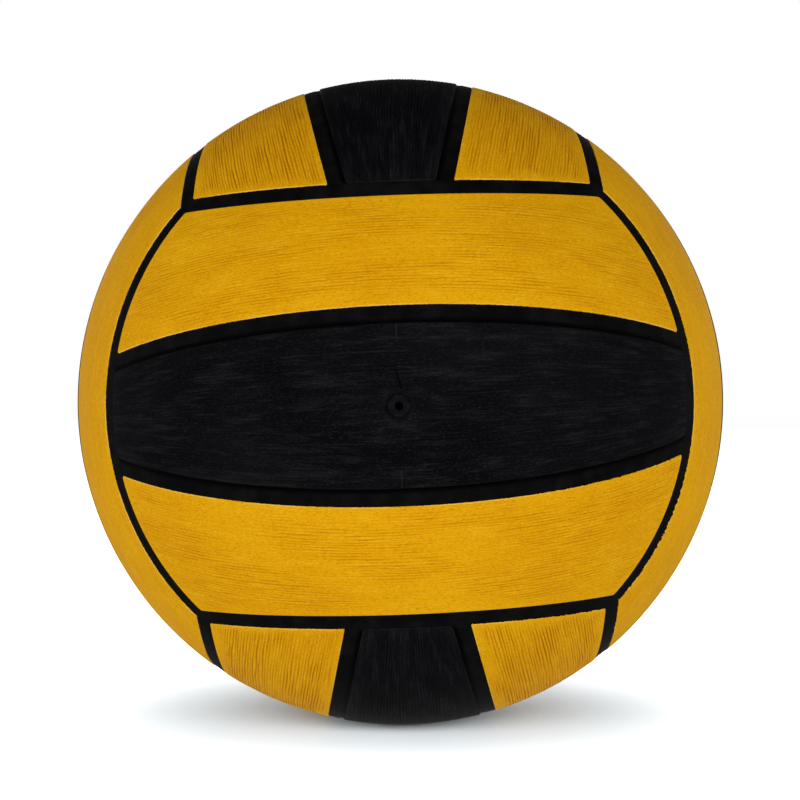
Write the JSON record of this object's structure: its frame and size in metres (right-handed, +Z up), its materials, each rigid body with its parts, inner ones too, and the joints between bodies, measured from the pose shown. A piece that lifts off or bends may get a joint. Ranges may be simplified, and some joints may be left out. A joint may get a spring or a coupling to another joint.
{
  "type": "water polo ball",
  "caption": "Round inflatable water polo ball with a ridged rubber grip cover of yellow and black strip panels, recessed seams and a needle valve.",
  "frame": {"origin": "centre of the ball", "axes": "+Z up, -Y out of the valve at the middle of the front face, +X to the right seen from the front"},
  "size_m": [0.22, 0.2199, 0.22],
  "materials": {
    "yellow_panel": "matte",
    "black_panel": "matte",
    "seam": "matte",
    "carcass": "matte",
    "winding": "matte",
    "bladder": "satin",
    "valve_housing": "matte",
    "valve_core": "matte"
  },
  "bodies": {
    "ball": {"front_upper_panel": "yellow_panel", "front_lower_panel": "yellow_panel", "front_middle_panel": "black_panel", "back_upper_panel": "yellow_panel", "back_lower_panel": "yellow_panel", "back_middle_panel": "black_panel", "top_left_panel": "yellow_panel", "top_right_panel": "yellow_panel", "top_middle_panel": "black_panel", "bottom_left_panel": "yellow_panel", "bottom_right_panel": "yellow_panel", "bottom_middle_panel": "black_panel", "left_front_panel": "yellow_panel", "left_rear_panel": "yellow_panel", "left_middle_panel": "black_panel", "right_front_panel": "yellow_panel", "right_rear_panel": "yellow_panel", "right_middle_panel": "black_panel", "front_upper_divider": "seam", "front_lower_divider": "seam", "front_left_edge_strip": "seam", "front_right_edge_strip": "seam", "back_upper_divider": "seam", "back_lower_divider": "seam", "back_left_edge_strip": "seam", "back_right_edge_strip": "seam", "top_left_divider": "seam", "top_right_divider": "seam", "top_front_edge_strip": "seam", "top_rear_edge_strip": "seam", "bottom_left_divider": "seam", "bottom_right_divider": "seam", "bottom_front_edge_strip": "seam", "bottom_rear_edge_strip": "seam", "left_front_divider": "seam", "left_rear_divider": "seam", "left_upper_edge_strip": "seam", "left_lower_edge_strip": "seam", "right_front_divider": "seam", "right_rear_divider": "seam", "right_upper_edge_strip": "seam", "right_lower_edge_strip": "seam", "carcass": "carcass", "winding": "winding", "bladder": "bladder", "valve_patch": "bladder", "valve_housing": "valve_housing"},
    "valve_plug": {"valve_core": "valve_core"}
  },
  "joints": [
    {"name": "valve_core_press", "type": "slide", "parent": "ball", "child": "valve_plug", "axis": [0, 1, 0], "range_m": [0, 0.001], "stiffness_N_per_m": 2000}
  ]
}
